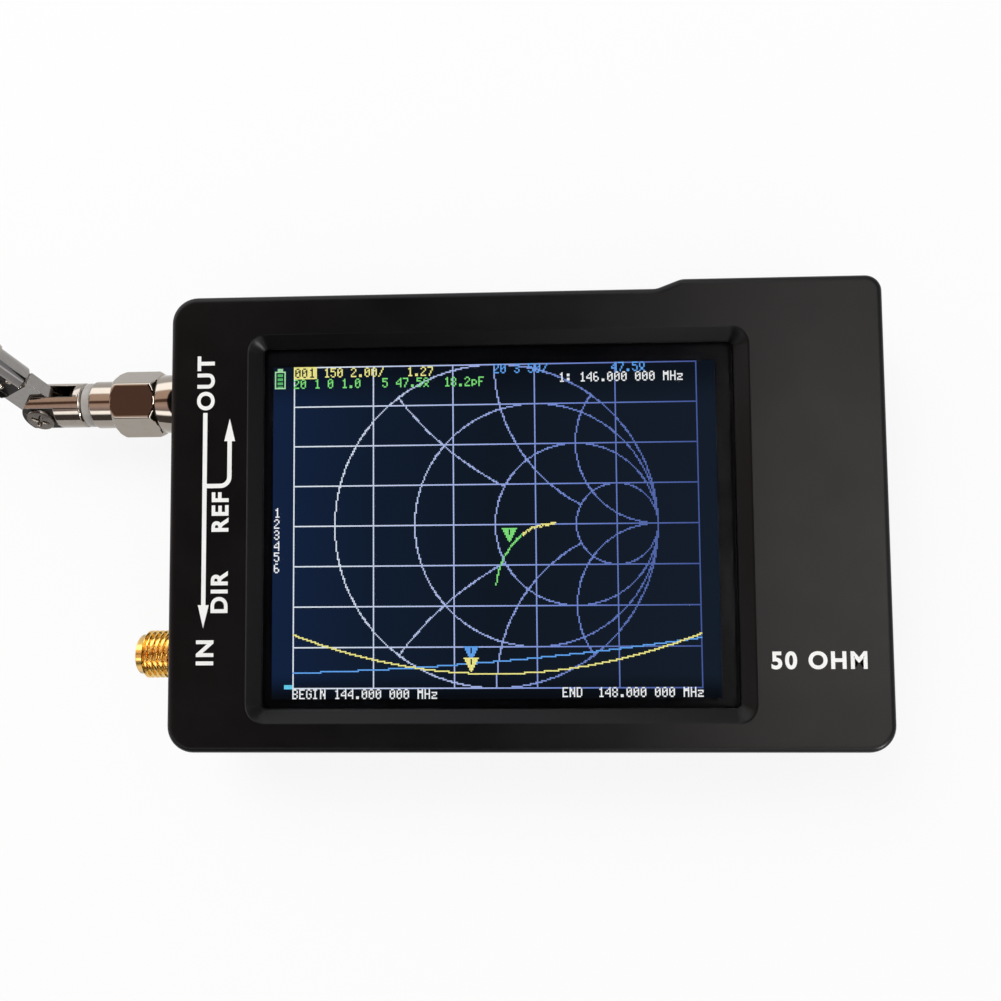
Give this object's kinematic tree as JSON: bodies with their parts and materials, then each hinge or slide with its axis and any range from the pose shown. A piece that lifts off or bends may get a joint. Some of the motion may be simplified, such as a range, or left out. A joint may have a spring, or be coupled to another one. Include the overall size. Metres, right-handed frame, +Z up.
{
  "type": "antenna analyzer",
  "caption": "Pocket antenna analyzer: black case with a bevelled colour screen, two threaded coaxial ports on one end and a folding telescopic whip antenna on the upper port.",
  "frame": {"origin": "centre of the case's flat rear face, on the surface that it lies on", "axes": "+X along the case to the end away from the ports, +Y to the edge with the controls, +Z up out of the screen"},
  "size_m": [0.1501, 0.0853, 0.0632],
  "materials": {
    "case_plastic": "fine satin moulded plastic",
    "touch_film": "gloss",
    "display_glass": "gloss",
    "white_plastic": "satin",
    "board_laminate": "satin solder mask",
    "chip_plastic": "matt",
    "tinned_steel": "bright",
    "gold_plate": "bright gold plate",
    "chrome_plate": "polished",
    "flex_film": "satin film",
    "foam": "closed cell foam",
    "pouch_foil": "satin foil",
    "wire_jacket": "soft jacket",
    "socket_plastic": "satin",
    "switch_plastic": "satin",
    "screw_steel": "black zinc"
  },
  "bodies": {
    "analyzer": {"antenna_port_body": "gold_plate", "antenna_port_contact": "gold_plate", "antenna_port_insulator": "white_plastic", "audio_codec": "chip_plastic", "backlight_tray": "white_plastic", "battery_cell": "pouch_foil", "battery_leads": "wire_jacket", "battery_plug": "socket_plastic", "battery_tape": "foam", "case_screws": "screw_steel", "clock_generator": "chip_plastic", "display_flex": "flex_film", "flex_socket": "socket_plastic", "foam_pad": "foam", "front_shell": "case_plastic", "indicator_lamps": "white_plastic", "jog_switch_body": "chip_plastic", "lcd_panel": "display_glass", "light_guide": "white_plastic", "main_board": "board_laminate", "measure_port_body": "gold_plate", "measure_port_contact": "gold_plate", "measure_port_insulator": "white_plastic", "microcontroller": "chip_plastic", "mixer_chips": "chip_plastic", "power_switch_body": "tinned_steel", "rear_shell": "case_plastic", "shield_cans": "tinned_steel", "touch_panel": "touch_film", "usb_socket": "tinned_steel", "usb_tongue": "chip_plastic"},
    "antenna_plug": {"plug_body": "chrome_plate", "plug_insulator": "white_plastic", "plug_pin": "gold_plate", "antenna_ferrule": "chrome_plate", "insulating_bush": "white_plastic"},
    "coupling_nut": {"coupling_nut": "chrome_plate"},
    "swivel_head": {"swivel_head": "chrome_plate", "hinge_screw": "chrome_plate"},
    "mast_base": {"mast_foot": "chrome_plate", "foot_rivets": "chrome_plate", "mast_tube_1": "chrome_plate"},
    "mast_section_2": {"mast_tube_2": "chrome_plate"},
    "mast_section_3": {"mast_tube_3": "chrome_plate"},
    "mast_end": {"mast_rod": "chrome_plate", "mast_tip": "chrome_plate"},
    "power_slider": {"power_slider": "switch_plastic"},
    "jog_carrier": {"jog_carrier": "switch_plastic"},
    "jog_lever": {"jog_lever": "switch_plastic"}
  },
  "joints": [
    {"name": "antenna_unscrew", "type": "slide", "parent": "analyzer", "child": "antenna_plug", "axis": [-1, 0, 0], "range_m": [0, 0.00564]},
    {"name": "nut_turn", "type": "hinge", "parent": "antenna_plug", "child": "coupling_nut", "pos_m": [-0.0527, 0.01671, 0.0084], "axis": [-1, 0, 0], "range_deg": [0, 2880]},
    {"name": "antenna_swivel", "type": "hinge", "parent": "antenna_plug", "child": "swivel_head", "pos_m": [-0.06022, 0.01671, 0.0084], "axis": [-1, 0, 0], "continuous": true},
    {"name": "elbow_fold", "type": "hinge", "parent": "swivel_head", "child": "mast_base", "pos_m": [-0.06642, 0.01671, 0.0084], "axis": [0, 0.8192, -0.5736], "range_deg": [-61, 29]},
    {"name": "mast_draw_1", "type": "slide", "parent": "mast_base", "child": "mast_section_2", "axis": [-0.4848, 0.5017, 0.7164], "range_m": [0, 0.045]},
    {"name": "mast_draw_2", "type": "slide", "parent": "mast_section_2", "child": "mast_section_3", "axis": [-0.4848, 0.5017, 0.7164], "range_m": [0, 0.045]},
    {"name": "mast_draw_3", "type": "slide", "parent": "mast_section_3", "child": "mast_end", "axis": [-0.4848, 0.5017, 0.7164], "range_m": [0, 0.045]},
    {"name": "power_slide", "type": "slide", "parent": "analyzer", "child": "power_slider", "axis": [1, 0, 0], "range_m": [0, 0.002]},
    {"name": "jog_push", "type": "slide", "parent": "analyzer", "child": "jog_carrier", "axis": [0, -1, 0], "range_m": [0, 0.0004], "stiffness_N_per_m": 600},
    {"name": "jog_tilt", "type": "hinge", "parent": "jog_carrier", "child": "jog_lever", "pos_m": [0.0254, 0.02585, 0.012], "axis": [0, 0, 1], "range_deg": [-10, 10], "stiffness_Nm_per_rad": 0.02}
  ],
  "couplings": [
    {"joint": "nut_turn", "follows": "antenna_unscrew", "rad_per_m": 8905.3}
  ]
}
